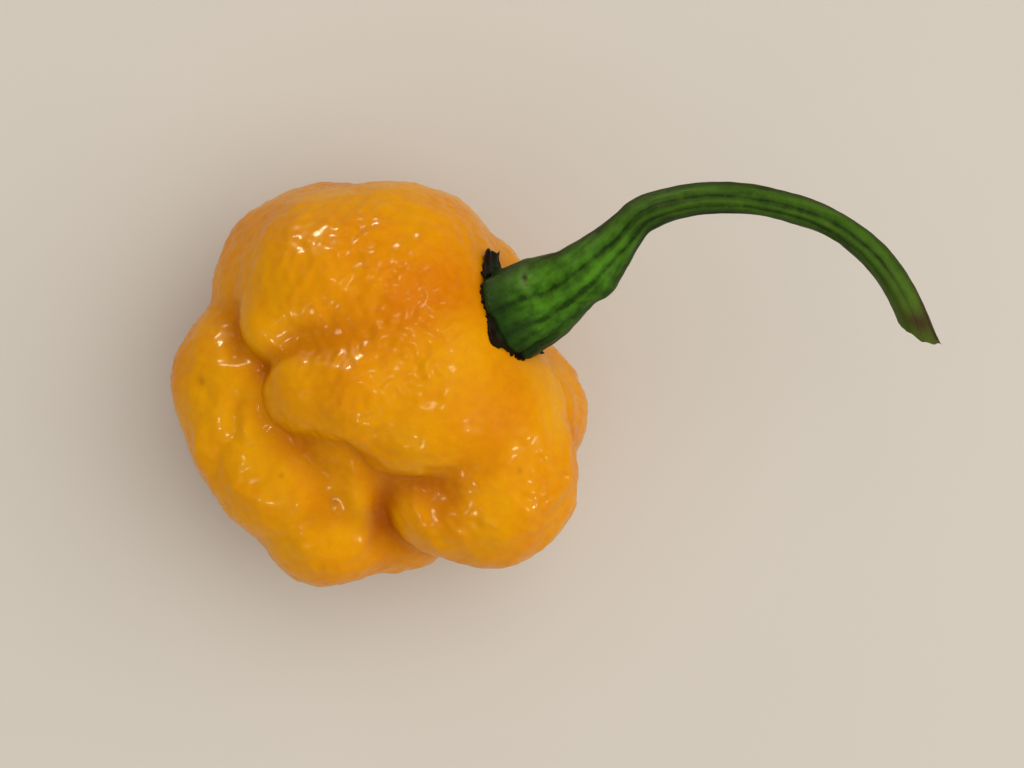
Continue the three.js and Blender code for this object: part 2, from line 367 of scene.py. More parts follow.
# %% where the skin is lively and where it is calm
BARE_FROM = 5.0
BARE_TO = 7.4
MEAN_LIVELINESS = 0.9
LIVELINESS_SPREAD = 0.3
CALMEST = 0.25
LIVELIEST = 1.7

# Each lively or calm place: x, y, its reach, and how much stronger the small bumps are there.
LIVELY_PLACES = (
    (-2.0, 11.0, 9, 0.6),
    (-6.0, -1.5, 6.5, -0.8),
    (13.5, 11.5, 6, -0.5),
)

bare = smooth_step(BARE_FROM, BARE_TO, pod_lean * foot_distance)
liveliness = MEAN_LIVELINESS + LIVELINESS_SPREAD * ripples(pod_smooth, 12, 22, count=12, seed=3)
for x, y, reach, stronger in LIVELY_PLACES:
    liveliness += stronger * near_place(pod_smooth, x, y, reach)
liveliness = np.clip(liveliness, CALMEST, LIVELIEST)

# %% the pod's creases and bumps
SWELLING_HEIGHT = 0.09
BUMP_HEIGHT = 0.048
WRINKLE_HEIGHT = 0.035
WRINKLE_LEVEL = 0.8
WRINKLE_ROUNDING = 0.05
DIMPLE_HEIGHT = 0.038
REST_ROUNDING = 0.02

crease_depth = sum(depth * near_line(pod_smooth, places, width) for places, width, depth in CREASES)
ridge_height = sum(reach * near_line(pod_smooth, places, width) for places, width, reach in RIDGES)
swollen = sum(height * near_place(pod_smooth, x, y, reach) for x, y, reach, height in SWELLINGS)
swelling = SWELLING_HEIGHT * ripples(pod_smooth, 6, 11, count=24, seed=5)
bumps = BUMP_HEIGHT * ripples(pod_smooth, 2.4, 4.4, count=40, seed=7)
valleys = np.sqrt(ripples(pod_smooth, 2.6, 5.0, count=32, seed=9) ** 2 + WRINKLE_ROUNDING)
wrinkles = WRINKLE_HEIGHT * (WRINKLE_LEVEL - valleys)
dimples = DIMPLE_HEIGHT * ripples(pod_smooth, 1.0, 1.9, count=60, seed=11)
fine_relief = liveliness * (bumps + wrinkles + dimples)
relief = bare * (swelling + swollen + fine_relief + ridge_height - crease_depth)

pod_out = square_to(pod_smooth)
pod_out[0], pod_out[-1] = pod_directions[0], pod_directions[-1]
pod_points = pod_smooth + pod_out * relief[..., None]
pod_points[..., 2] = soft_max(pod_points[..., 2], -REST_DEPTH, REST_ROUNDING)
print("relief from", round(float(relief.min()), 2), "to", round(float(relief.max()), 2), "mm")

# %% [markdown]
# ## Where the heart is
#
# The grid is in millimetres from the heart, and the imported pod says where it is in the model: the
# lowest corner of the smooth skin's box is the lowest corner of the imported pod's box. Every piece
# is moved by the same amount, so the three of them stay together.

# %% the heart's place in the model
rested = pod_smooth.reshape(-1, 3).copy()
rested[:, 2] = np.maximum(rested[:, 2], -REST_DEPTH)
packed_low, packed_high = (np.array(corner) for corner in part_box("pod"))
heart = packed_low - rested.min(0) * MM
print("the heart is at", heart.round(5), "and the packed pod is",
      ((packed_high - packed_low) / MM).round(2), "mm and the smooth skin",
      np.ptp(rested, axis=0).round(2), "mm")


def placed(points):
    """Millimetres from the heart, as metres in the model."""
    return points * MM + heart


# %% [markdown]
# ## How deep the skin lies
#
# Ripe skin is yellower in some patches and more orange in others, and its colour is darkened to a
# brownish orange at the bottom of each fold and crease, as painted shade. The material can't know
# where these are, so each point of the mesh carries it: how far it lies below the mean of eight
# points round it, and how much riper one patch is than the next. The few small healed scars are
# carried in the same way.

# %% painted shade in the folds and creases
NEIGHBOURS = 8
NEIGHBOUR_REACH = 3.0
FOLD_WEIGHT = 0.5
CREASE_WEIGHT = 0.45
RIDGE_WEIGHT = 0.4


def below_neighbours(reach):
    """How far the skin lies below the mean of eight directions that lean away from each point
    by a reach in millimetres."""
    side = np.cross(pod_directions, (0.0, 0.0, 1.0))
    side /= np.linalg.norm(side, axis=-1, keepdims=True) + 1e-9
    other = np.cross(pod_directions, side)
    lean = reach / pod_radius[..., None]
    total = np.zeros(pod_radius.shape)
    for turn in np.arange(NEIGHBOURS) * (2 * math.pi / NEIGHBOURS):
        across = math.cos(turn) * side + math.sin(turn) * other
        total += skin_radius(pod_directions * np.cos(lean) + across * np.sin(lean))
    return total / NEIGHBOURS - pod_radius


# Painted shade: how deep each point lies in a fold or crease, less on a ridge, which darkens its
# colour.
folded = FOLD_WEIGHT * below_neighbours(NEIGHBOUR_REACH)
painted_fold_shade = np.clip(folded + CREASE_WEIGHT * crease_depth - RIDGE_WEIGHT * ridge_height, 0, 1)
print("hollow: mean", round(float(painted_fold_shade.mean()), 3), "largest", round(float(painted_fold_shade.max()), 2))

# %% ripe patches and scars
RIPENESS_SPREAD = 0.25

# Each patch: its place from above x, y, its reach, and how much riper (or paler) it is.
PATCHES = (
    (3.4, 8.5, 4.5, 0.6),
    (7.3, 8.0, 4.5, 0.5),
    (-4.0, 6.3, 3.5, 0.4),
    (12.4, -2.6, 3.6, 0.7),
    (7.0, -12.4, 3.0, 0.5),
    (12.0, -9.0, 4.0, 0.25),
    (4.0, -5.0, 4.5, -0.6),
    (-4.5, -16.5, 5.0, -0.65),
    (-10.0, -11.0, 4.5, -0.3),
    (-14.5, -6.5, 5.5, -0.5),
    (-17.6, -1.0, 3.5, -0.4),
    (17.5, -3.0, 3.0, -0.1),
    (12.6, -15.4, 4.0, -0.6),
    (-14.0, 7.0, 4.0, -0.2),
)
# Each healed scar: its place x, y and its reach.
SCARS = (
    (-18.1, 0.2, 0.45),
    (-4.2, -12.1, 0.5),
    (-9.6, -9.4, 0.3),
    (14.6, -8.8, 0.3),
)

ripeness = RIPENESS_SPREAD * ripples(pod_smooth, 9, 16, count=16, seed=21)
for x, y, reach, riper in PATCHES:
    ripeness += riper * near_place(pod_smooth, x, y, reach)
scar = sum(near_place(pod_smooth, x, y, reach) for x, y, reach in SCARS)

# %% show the pod
pod_marks = {"painted_fold_shade": painted_fold_shade, "ripeness": ripeness, "scar": scar}
pod = show_piece("pod", placed(pod_points), pod_marks)

# %% [markdown]
# ## The calyx
#
# The calyx is what is left of the flower: a thin collar that clings to the fruit under the stem.
# It dries from its rim inwards, so the rim is ragged, curled and dark. It is made as one sheet
# with two sides, rows from the middle out along the underside and back along the top.

# %% the calyx's rim
CALYX_RADIUS = 4.7

# Waves round the rim and how far they reach, in millimetres.
RIM_WAVES = ((7, 0.07), (17, 0.06), (31, 0.06), (47, 0.05), (83, 0.03))
# Each tooth or bay: where round the rim (turns), how far out (mm), how wide (turns).
CALYX_TEETH = (
    (0.940, 1.7, 0.075),
    (0.990, 0.9, 0.020),
    (0.955, 0.5, 0.012),
    (0.912, 1.1, 0.020),
    (0.878, 0.9, 0.012),
    (0.895, -0.3, 0.006),
    (0.185, -0.95, 0.070),
    (0.305, 0.45, 0.030),
    (0.400, -0.35, 0.100),
    (0.610, 1.3, 0.030),
    (0.690, 0.6, 0.020),
    (0.760, 1.2, 0.030),
    (0.820, 0.5, 0.015),
)


def turns_from(angle, place):
    """How far an angle is from a place round the middle, in turns, the shorter way round."""
    return np.abs((angle / (2 * math.pi) - place + 1.5) % 1 - 0.5)


def bell(distance, width):
    """1 at no distance, fading away as exp(-(distance / width)^2)."""
    return np.exp(-((distance / width) ** 2))


def rim_reach(angle):
    """How far the rim reaches at an angle, as a share of the calyx's radius: 1, plus a sine wave
    for each ripple, stronger in some places than in others, and a bell for each tooth."""
    reach = sum(height * np.sin(waves * angle + waves) for waves, height in RIM_WAVES)
    reach = reach * (1 + 0.7 * np.sin(3 * angle) + 0.5 * np.sin(5 * angle + 1))
    for tooth, height, width in CALYX_TEETH:
        reach = reach + height * bell(turns_from(angle, tooth), width)
    return 1 + reach / CALYX_RADIUS


# %% the calyx's grid
CALYX_COLUMNS = 720
CALYX_ROWS = 40
CALYX_THICKNESS = 0.6
CALYX_RIM_THICKNESS = 0.3
CALYX_SUNK = 0.12
RIM_SHARPNESS = 4
CURL_FROM = 0.8
CURL_TO = 1.05
CURL_HEIGHT = 0.22
CURL_UNEVENNESS = 0.8
CRINKLE_HEIGHT = 0.05

calyx_angle = np.arange(CALYX_COLUMNS) * (2 * math.pi / CALYX_COLUMNS)
outwards = np.linspace(0, 1, CALYX_ROWS)
calyx_share = np.concatenate((outwards, outwards[::-1]))[:, None]
on_top = np.repeat((0.0, 1.0), CALYX_ROWS)[:, None]
spread = 1 + (rim_reach(calyx_angle) - 1) * calyx_share**RIM_SHARPNESS
calyx_lean = calyx_share * CALYX_RADIUS * spread / foot_distance
calyx_directions = directions_round_foot(calyx_lean, calyx_angle)
calyx_base = calyx_directions * skin_radius(calyx_directions)[..., None]

thickness = CALYX_THICKNESS + (CALYX_RIM_THICKNESS - CALYX_THICKNESS) * calyx_share**2
unevenness = 1 + CURL_UNEVENNESS * ripples(calyx_base, 1.5, 3.5, count=16, seed=31)
curl = CURL_HEIGHT * smooth_step(CURL_FROM, CURL_TO, calyx_share * spread) * unevenness
crinkle = CRINKLE_HEIGHT * ripples(calyx_base, 0.6, 1.3, count=24, seed=33) * calyx_share
height = np.where(on_top > 0, thickness + crinkle, -CALYX_SUNK) + np.maximum(curl, 0)
calyx_points = calyx_base + calyx_directions * height[..., None]

# %% where the calyx is dry
# The rim is dry up to the first of these distances from its edge, in millimetres, and green from
# the second one on. The largest tooth is fresher, so it is dry only at its very edge.
DRY_RIM = (0.3, 1.4)
DRY_TOOTH = (0.1, 0.5)
TOOTH_AT = 0.94
TOOTH_WIDTH = 0.05

from_rim = (1 - calyx_share) * CALYX_RADIUS * rim_reach(calyx_angle)
on_tooth = bell(turns_from(calyx_angle, TOOTH_AT), TOOTH_WIDTH)
dry_to, green_from = (rim + (tooth - rim) * on_tooth for rim, tooth in zip(DRY_RIM, DRY_TOOTH))
dry = 1 - smooth_step(dry_to, green_from, from_rim)
calyx = show_piece("calyx", placed(calyx_points), {"dry": dry})

# %% [markdown]
# ## The stem's middle line
#
# The stem leaves square to the skin, turns level and arches over. Its middle line is a smooth
# curve through a few points. A centripetal Catmull-Rom curve doesn't overshoot where the points
# are unevenly spaced, and it passes through every one of them.

# %% the middle line
CLEARANCE = 0.3
FOOT_HEIGHT = 4.0
STEPS_BETWEEN = 120
STEM_ROUTE = (
    (21.0, 10.9, 15.4),
    (24.0, 13.6, 17.2),
    (26.5, 16.3, 18.7),
    (29.6, 17.4, 20.0),
    (33.5, 17.9, 20.7),
    (38.8, 17.4, 20.3),
    (44.5, 15.8, 18.6),
    (49.2, 12.9, 16.2),
    (52.5, 9.0, 13.8),
    (54.6, 5.2, 11.8),
)


def curve_through(points, steps):
    """A centripetal Catmull-Rom curve. Between two points it is the cubic that starts and ends
    with the slopes (b - a) / ab - (c - a) / (ab + bc) + (c - b) / bc, where ab and bc are the
    square roots of the distances between neighbours."""
    ends = np.vstack((2 * points[0] - points[1], points, 2 * points[-1] - points[-2]))
    gaps = np.sqrt(np.linalg.norm(np.diff(ends, axis=0), axis=1))[:, None]
    steps_in = np.diff(ends, axis=0)
    wide = ends[2:] - ends[:-2]
    slopes = steps_in[:-1] / gaps[:-1] - wide / (gaps[:-1] + gaps[1:]) + steps_in[1:] / gaps[1:]
    share = np.linspace(0, 1, steps, endpoint=False)[None, :, None]
    start, end = points[:-1, None], points[1:, None]
    leave, arrive = (slopes[:-1] * gaps[1:-1])[:, None], (slopes[1:] * gaps[1:-1])[:, None]
    curve = (
        start * (2 * share**3 - 3 * share**2 + 1)
        + leave * (share**3 - 2 * share**2 + share)
        + end * (3 * share**2 - 2 * share**3)
        + arrive * (share**3 - share**2)
    )
    return np.vstack((curve.reshape(-1, 3), points[-1]))


quarters = np.arange(4) * (math.pi / 2)
rim_directions = directions_round_foot(CALYX_RADIUS / foot_distance, quarters)
rim = rim_directions * skin_radius(rim_directions)[:, None]
foot_normal = np.cross(rim[0] - rim[2], rim[1] - rim[3])
foot_normal /= np.linalg.norm(foot_normal)
foot = foot_out * (foot_distance + 2 * CLEARANCE + CALYX_THICKNESS)
route = np.vstack((foot, foot + FOOT_HEIGHT * foot_normal, STEM_ROUTE))
middle_line = curve_through(route, STEPS_BETWEEN)
steps_long = np.linalg.norm(np.diff(middle_line, axis=0), axis=1)
travelled = np.concatenate(((0,), np.cumsum(steps_long)))
stem_length = travelled[-1]
print("the stem is", round(float(stem_length), 1), "mm long")

# %% [markdown]
# ## The stem's section
#
# A pepper's stem is five-sided and grooved. It flares like a trumpet where it meets the calyx,
# has a knee where the flower once stood up, and ends in a torn, slanting cut. Its section is
# carried along the middle line: at each share of the length there is a radius for each angle.
# A circle with a bell added for each rib is easier to adjust than a drawn outline.

# %% ribs and stripes
TWIST = 0.07
RIB_WIDTH = 0.05

# Ribs: where round the stem (turns) and how far they stand out, as a share of the radius.
RIBS = ((0.00, 0.10), (0.25, 0.05), (0.47, 0.07), (0.66, 0.08), (0.84, 0.08))
# Stripes, light crests and dark grooves, the light ones along the top partly a painted highlight:
# where round the stem, how wide, and how light.
STRIPES = (
    (0.12, 0.045, 0.8),
    (0.205, 0.016, -0.9),
    (0.265, 0.018, 0.9),
    (0.315, 0.016, -0.8),
    (0.350, 0.016, 0.2),
    (0.430, 0.055, -0.8),
    (0.600, 0.030, 0.5),
    (0.680, 0.020, -0.8),
    (0.770, 0.030, 0.6),
    (0.860, 0.020, -0.7),
)


def turned_from(share, angle, place):
    """How far an angle is from a rib or a stripe, in turns. Its place turns a little round the
    stem on the way to its tip."""
    return turns_from(angle, place + TWIST * share)


def rib_height(share, angle):
    """The ribs, as a share of the radius: a bell for each of them."""
    return sum(reach * bell(turned_from(share, angle, place), RIB_WIDTH) for place, reach in RIBS)


def stripe_lightness(share, angle):
    """How light a stripe is, from -1 in a groove to 1 on a crest: a bell for each stripe."""
    return sum(light * bell(turned_from(share, angle, place), width) for place, width, light in STRIPES)


# %% the stem's radius
STEM_SHARES = (0, 0.007, 0.05, 0.09, 0.14, 0.21, 0.26, 0.30, 0.39, 0.6, 0.8, 1)
STEM_RADII = (4.45, 4.65, 4.15, 3.6, 3.0, 2.5, 2.1, 1.82, 1.6, 1.38, 1.42, 1.5)
RIBS_FULL_FROM = 0.10
# The plain radius between the ribs, as a share of the mean radius.
PLAIN_AT_FOOT = 0.99
PLAIN_ABOVE = 0.95
STRIPE_HEIGHT = 0.05
KNEE_AT = 0.187
KNEE_LENGTH = 0.032
KNEE_REACH = 0.6

# The foot's swellings and grooves: where (turns), width (turns), reach (mm), height (mm).
FOOT_SWELLINGS = (
    (0.00, 0.09, 0.55, 9.5),
    (0.00, 0.09, -0.45, 2.5),
    (0.26, 0.13, -1.0, 2.6),
    (0.08, 0.03, 0.25, 1.0),
    (0.18, 0.04, 0.20, 1.1),
    (0.30, 0.03, 0.20, 1.0),
    (0.36, 0.03, 0.15, 1.3),
    (0.425, 0.012, -0.60, 2.6),
    (0.465, 0.03, 0.10, 1.3),
    (0.53, 0.015, -0.60, 2.2),
    (0.62, 0.04, 0.25, 1.2),
    (0.75, 0.05, 0.25, 1.2),
    (0.90, 0.04, 0.20, 1.0),
)


def stem_radius(share, angle):
    """The stem's radius at a share of its length and an angle round it: the mean radius there,
    times the plain share plus the ribs, plus the stripes' small crests, plus the foot's
    swellings, each a bell round the stem that fades upwards, plus the knee on one side."""
    mean = np.interp(share, STEM_SHARES, STEM_RADII)
    risen = smooth_step(0.0, RIBS_FULL_FROM, share)
    plain = PLAIN_AT_FOOT + (PLAIN_ABOVE - PLAIN_AT_FOOT) * risen
    radius = mean * (plain + rib_height(share, angle) * risen)
    radius = radius + STRIPE_HEIGHT * stripe_lightness(share, angle) * risen
    for place, width, reach, height in FOOT_SWELLINGS:
        fade = bell(share * stem_length, height)
        radius = radius + reach * bell(turns_from(angle, place), width) * fade
    knee = KNEE_REACH * bell(share - KNEE_AT, KNEE_LENGTH)
    return radius + knee * np.maximum(0, -np.cos(angle)) ** 2


# %% [markdown]
# ## The stem's skin
#
# The grid starts in the middle of the foot, runs out under it, up the side and in over the cut.
# Rows are closer together near the foot, where there is more to see. At the foot the section
# isn't flat: it is laid on the calyx, and passes over into the carried section just above.

# %% the stem's grid
STEM_COLUMNS = 180
STEM_ROWS = 480
STEP_GROWTH = 1.4
FOOT_ROWS = 6
CUT_ROWS = 16
CUT_DEPTH = 0.5
TIP_SLANT = 1.25
TIP_SHARPNESS = 12
TIP_LONGER = 0.25
TIP_BULGE = 0.6

stem_angle = np.arange(STEM_COLUMNS) * (2 * math.pi / STEM_COLUMNS)
side_share = (np.arange(1, STEM_ROWS + 1) / STEM_ROWS) ** STEP_GROWTH
foot_reach = np.linspace(0, 1, FOOT_ROWS)
cut_reach = np.linspace(1, 0, CUT_ROWS + 1)[1:]
stem_share = np.concatenate((np.zeros(FOOT_ROWS), side_share, np.ones(CUT_ROWS)))[:, None]
stem_reach = np.concatenate((foot_reach, np.ones(STEM_ROWS), cut_reach))[:, None]
not_cut = np.zeros(FOOT_ROWS + STEM_ROWS)
stem_sink = np.concatenate((not_cut, CUT_DEPTH * (1 - cut_reach**3)))[:, None]
along_mm = stem_share * stem_length


def along_line(values):
    """Vectors that are known along the middle line, read at each row of the grid."""
    return np.stack([np.interp(along_mm, travelled, column) for column in values.T], -1)


station = along_line(middle_line)
tangent = along_line(np.gradient(middle_line, travelled, axis=0))
tangent /= np.linalg.norm(tangent, axis=-1, keepdims=True)
left = np.cross((0.0, 0.0, 1.0), tangent)
left /= np.linalg.norm(left, axis=-1, keepdims=True)
up = np.cross(tangent, left)

radius = stem_reach * stem_radius(stem_share, stem_angle)
cosine, sine = np.cos(stem_angle), np.sin(stem_angle)
lean = TIP_SLANT * radius * cosine + stem_reach * (TIP_LONGER + TIP_BULGE * sine**2)
slant = lean * stem_share**TIP_SHARPNESS - stem_sink
section = left * cosine[None, :, None] + up * sine[None, :, None]
stem_points = station + radius[..., None] * section + tangent * slant[..., None]

# %% the foot follows the skin
FOOT_SUNK = 0.15
FOOT_BLEND_HEIGHT = 2.2

foot_directions = directions_round_foot(radius / foot_distance, stem_angle)
foot_height = skin_radius(foot_directions) + CALYX_THICKNESS - FOOT_SUNK
foot_floor = foot_directions * foot_height[..., None]
lift = foot_normal * along_mm[..., None]
set_down = (1 - smooth_step(0.0, FOOT_BLEND_HEIGHT, along_mm))[..., None]
stem_points = stem_points * (1 - set_down) + (foot_floor + lift) * set_down
stem_out = -square_to(stem_points)
stem_out[0], stem_out[-1] = -foot_normal, tangent[-1, 0]

# %% [markdown]
# ## Marks and fibres on the stem
#
# A real stem has small accidents: a pore with a paler ring, brown bruises near the cut, fibres
# that run along it and a ragged edge where it tore. Marks are soft round masks that the mesh
# carries for the material. Fibres need a pattern that is stretched along a bent piece, so the
# ripples read a straightened place, the grain: across the stem as it is, along it squeezed.

# %% marks on the stem
# Each mark: how far along the stem (mm), its length (mm), where round it, its width (turns).
PORE_MARK = ((3.5, 0.50, 0.111, 0.024),)
PORE_RING = ((3.5, 0.85, 0.111, 0.042),)
BROWN_MARKS = ((50.7, 1.3, 0.22, 0.16), (48.6, 1.2, 0.06, 0.05), (53.1, 0.9, 0.02, 0.16))
# The ribs at the stem's two sides are darkened to brown.
OUTER_RIBS = (0.02, 0.48)
OUTER_RIB_WIDTH = 0.035


def marks(places):
    """A mask with one soft round mark at each place: a bell along times a bell round the stem."""
    return sum(
        bell(along_mm - along_at, length) * bell(turns_from(stem_angle, turn), width)
        for along_at, length, turn, width in places
    )


outer_rib = sum(bell(turned_from(stem_share, stem_angle, rib), OUTER_RIB_WIDTH) for rib in OUTER_RIBS)

# %% fibres along the stem
GRAIN_SQUEEZE = 7.0
FIBRE_HEIGHT = 0.035
FIBRES_AT_FOOT = 0.65
KNOB_HEIGHT = 0.03
KNOBS_AT_TIP = 0.4
TORN_LENGTH = 0.13
TORN_FROM = 0.975
PORE_DEPTH = 0.12

grain = np.stack(np.broadcast_arrays(radius * cosine, radius * sine, along_mm / GRAIN_SQUEEZE), -1)
fibrous = FIBRES_AT_FOOT + (1 - FIBRES_AT_FOOT) * smooth_step(8, 16, along_mm)
fibres = FIBRE_HEIGHT * ripples(grain, 0.7, 1.6, count=40, seed=41) * stem_reach * fibrous
knobby = 1 - (1 - KNOBS_AT_TIP) * smooth_step(14, 24, along_mm)
knobs = KNOB_HEIGHT * ripples(stem_points, 1.2, 2.6, count=24, seed=43) * stem_reach * knobby
torn = TORN_LENGTH * ripples(grain, 0.5, 1.6, count=24, seed=47) * smooth_step(TORN_FROM, 1, stem_share)
outwards_by = fibres + knobs - PORE_DEPTH * marks(PORE_MARK)
stem_points = stem_points + stem_out * outwards_by[..., None] + tangent * torn[..., None]


# %% show the stem
def for_each_column(values):
    """One value for each row, given to every point of the row."""
    return np.broadcast_to(values, radius.shape)


stem_marks = {
    "grain": grain,
    "along": for_each_column(along_mm),
    "to_tip": for_each_column(stem_length - along_mm),
    "cut": for_each_column(smooth_step(0.0, 0.2, stem_sink)),
    "outer_rib": outer_rib,
    "stripe": stripe_lightness(stem_share, stem_angle),
    "pore": marks(PORE_MARK),
    "pore_ring": marks(PORE_RING),
    "browned": marks(BROWN_MARKS),
}
stem = show_piece("stem", placed(stem_points), stem_marks)

# %% [markdown]
# ## Nodes
#
# A material is a small program made of nodes. A few helpers keep it readable: one adds a node and
# fills its inputs with numbers or with other nodes' outputs, one turns a colour as one writes it
# on a label into the linear light that the shader works with, and the rest name what is done
# most: a sum, a soft step between two values, and one colour laid over another.

# %% helpers for nodes
def add(tree, kind, settings=None, **inputs):
    """Adds a node. Settings are its own properties. Inputs are named, with _ for a space, or
    numbered as in_3, and each gets a plain value or is linked to another node's output."""
    made = tree.nodes.new(kind)
    for name, value in (settings or {}).items():
        setattr(made, name, value)
    for name, value in inputs.items():
        key = int(name[3:]) if name.startswith("in_") else name.replace("_", " ")
        socket = made.inputs[key]
        if isinstance(value, bpy.types.NodeSocket):
            tree.links.new(value, socket)
        else:
            socket.default_value = value
    return made


def colour(label):
    """A colour written as six hexadecimal digits, as linear light: each channel c becomes
    c / 12.92 below 0.04045, and ((c + 0.055) / 1.055)^2.4 above it."""
    channels = [int(label[n:n + 2], 16) / 255 for n in (0, 2, 4)]
    linear = [c / 12.92 if c <= 0.04045 else ((c + 0.055) / 1.055) ** 2.4 for c in channels]
    return (*linear, 1.0)


def arithmetic(tree, operation, *values, clamp=False):
    """One operation on two or three numbers. MULTIPLY_ADD is the first one times the second one,
    plus the third one."""
    settings = {"operation": operation, "use_clamp": clamp}
    inputs = {f"in_{number}": value for number, value in enumerate(values)}
    return add(tree, "ShaderNodeMath", settings, **inputs).outputs[0]


def soft_step(tree, value, start, end):
    """0 where a value is at its start, 1 where it is at its end, and a smooth step between."""
    settings = {"interpolation_type": "SMOOTHSTEP"}
    step = add(tree, "ShaderNodeMapRange", settings, Value=value, From_Min=start, From_Max=end)
    return step.outputs["Result"]


def reading(tree, name, output="Fac"):
    """An attribute that the mesh carries."""
    return add(tree, "ShaderNodeAttribute", {"attribute_name": name}).outputs[output]


# %% helpers for colours
def between(tree, amount, under, over):
    """The mix of two colours, by an amount from 0 to 1."""
    mixer = add(tree, "ShaderNodeMix", {"data_type": "RGBA"}, in_0=amount, in_6=under, in_7=over)
    return mixer.outputs[2]


def laid_over(tree, under, layers):
    """A colour with others laid over it, one by one. Each layer is its mask, how strong it is
    and its colour."""
    for mask, strength, label in layers:
        amount = arithmetic(tree, "MULTIPLY", mask, strength, clamp=True)
        under = between(tree, amount, under, colour(label))
    return under


# %% helpers for groups
def new_group(name, inputs, outputs):
    """An empty shader node group with named inputs and outputs."""
    group = bpy.data.node_groups.new(name, "ShaderNodeTree")
    for label, kind, value in inputs:
        socket = group.interface.new_socket(label, in_out="INPUT", socket_type="NodeSocket" + kind)
        if value is not None:
            socket.default_value = value
    for label, kind in outputs:
        group.interface.new_socket(label, in_out="OUTPUT", socket_type="NodeSocket" + kind)
    return group, add(group, "NodeGroupInput"), add(group, "NodeGroupOutput")


def mask_from(tree, group, **inputs):
    """The mask that a node group makes in a material, from its own values."""
    return add(tree, "ShaderNodeGroup", {"node_tree": group}, **inputs).outputs["Mask"]


# %% [markdown]
# ## Effects that the materials share
#
# Mottling is how living tissue varies in colour: soft patches with no edge. Speckle is the tiny
# pores and flecks in it. Both are masks from 0 to 1, so that each material can lay its own
# colours with them, and both are needed on the pod, the calyx and the stem.

# %% mottling
mottling, given, result = new_group(
    "Mottling",
    [("Vector", "Vector", None), ("Scale", "Float", 100.0),
     ("Detail", "Float", 3.0), ("Contrast", "Float", 1.0)],
    [("Mask", "Float")],
)
noise = add(mottling, "ShaderNodeTexNoise", Vector=given.outputs["Vector"],
            Scale=given.outputs["Scale"], Detail=given.outputs["Detail"])
centred = arithmetic(mottling, "SUBTRACT", noise.outputs["Fac"], 0.5)
mask = arithmetic(mottling, "MULTIPLY_ADD", centred, given.outputs["Contrast"], 0.5, clamp=True)
mottling.links.new(mask, result.inputs["Mask"])

# %% speckle
speckle, given, result = new_group(
    "Speckle",
    [("Vector", "Vector", None), ("Scale", "Float", 1000.0), ("Size", "Float", 0.3)],
    [("Mask", "Float")],
)
cells = add(speckle, "ShaderNodeTexVoronoi", Vector=given.outputs["Vector"],
            Scale=given.outputs["Scale"], Randomness=1.0)
spot = soft_step(speckle, cells.outputs["Distance"], given.outputs["Size"], 0.0)
speckle.links.new(spot, result.inputs["Mask"])

# %% [markdown]
# ## The pod's skin
#
# Ripe pepper skin is a clear wax over soft, coloured flesh. The light that enters it comes out
# nearby, which softens the shading, so the shader scatters light under the surface. The wax is a
# second, smoother layer on top. The colour goes from yellow to orange with the ripeness that the
# mesh carries, and it is darkened to a brownish orange in the folds and creases as painted shade.

# %% the pod's colour
def new_material(name):
    """A material with one Principled shader, its node tree, and the place of the pattern."""
    material = bpy.data.materials.new(name)
    material.use_nodes = True
    tree = material.node_tree
    where = add(tree, "ShaderNodeTexCoord").outputs["Object"]
    return material, tree, tree.nodes["Principled BSDF"], where


material, tree, shader, where = new_material("waxy_pod_skin")
pod.data.materials.append(material)
patches = mask_from(tree, mottling, Vector=where, Scale=160.0, Detail=3.0, Contrast=2.0)
freckles = mask_from(tree, mottling, Vector=where, Scale=900.0, Detail=3.0, Contrast=2.2)
pores = mask_from(tree, speckle, Vector=where, Scale=1500.0, Size=0.45)

orange = arithmetic(tree, "MULTIPLY_ADD", reading(tree, "ripeness"), 0.5, 0.15)
orange = arithmetic(tree, "MULTIPLY_ADD", patches, 0.35, orange)
orange = arithmetic(tree, "MULTIPLY_ADD", freckles, 0.3, orange, clamp=True)
flesh = between(tree, orange, colour("e8a200"), colour("d87c00"))
flesh = laid_over(tree, flesh, (
    # painted shade: the folds and creases are darkened to a brownish orange
    (reading(tree, "painted_fold_shade"), 0.9, "ae5200"),
    (pores, 0.10, "f0b820"),
    (reading(tree, "scar"), 0.45, "9a5408"),
))
tree.links.new(flesh, shader.inputs["Base Color"])

# %% the pod's wax and flesh
dull = arithmetic(tree, "MULTIPLY_ADD", freckles, 0.12, 0.26)
tree.links.new(dull, shader.inputs["Roughness"])
shader.inputs["Subsurface Weight"].default_value = 0.08
shader.inputs["Subsurface Radius"].default_value = (1.0, 0.5, 0.05)
shader.inputs["Subsurface Scale"].default_value = 0.0010
shader.inputs["Specular IOR Level"].default_value = 0.06
shader.inputs["Coat Weight"].default_value = 0.11
shader.inputs["Coat Roughness"].default_value = 0.07

# %% [markdown]
# ## The calyx's rind
#
# Under the stem the calyx is still green, and its rim has dried to a brown that is almost black.
# How dry it is comes from the mesh, and the mottling makes the border between the two uneven.

# %% the calyx's material
material, tree, shader, where = new_material("dry_calyx_rind")
calyx.data.materials.append(material)
patches = mask_from(tree, mottling, Vector=where, Scale=900.0, Detail=4.0, Contrast=2.4)
flecks = mask_from(tree, speckle, Vector=where, Scale=2600.0, Size=0.5)
green = between(tree, patches, colour("0c1c04"), colour("1e3808"))
brown = between(tree, patches, colour("080401"), colour("241508"))
dried = arithmetic(tree, "MULTIPLY_ADD", patches, 0.3, reading(tree, "dry"), clamp=True)
tree.links.new(between(tree, dried, green, brown), shader.inputs["Base Color"])
dull = arithmetic(tree, "MULTIPLY_ADD", patches, 0.2, 0.55)
tree.links.new(dull, shader.inputs["Roughness"])
grains = arithmetic(tree, "ADD", patches, flecks)
bump = add(tree, "ShaderNodeBump", Strength=0.5, Distance=0.0001, Height=grains)
tree.links.new(bump.outputs["Normal"], shader.inputs["Normal"])
shader.inputs["Specular IOR Level"].default_value = 0.1
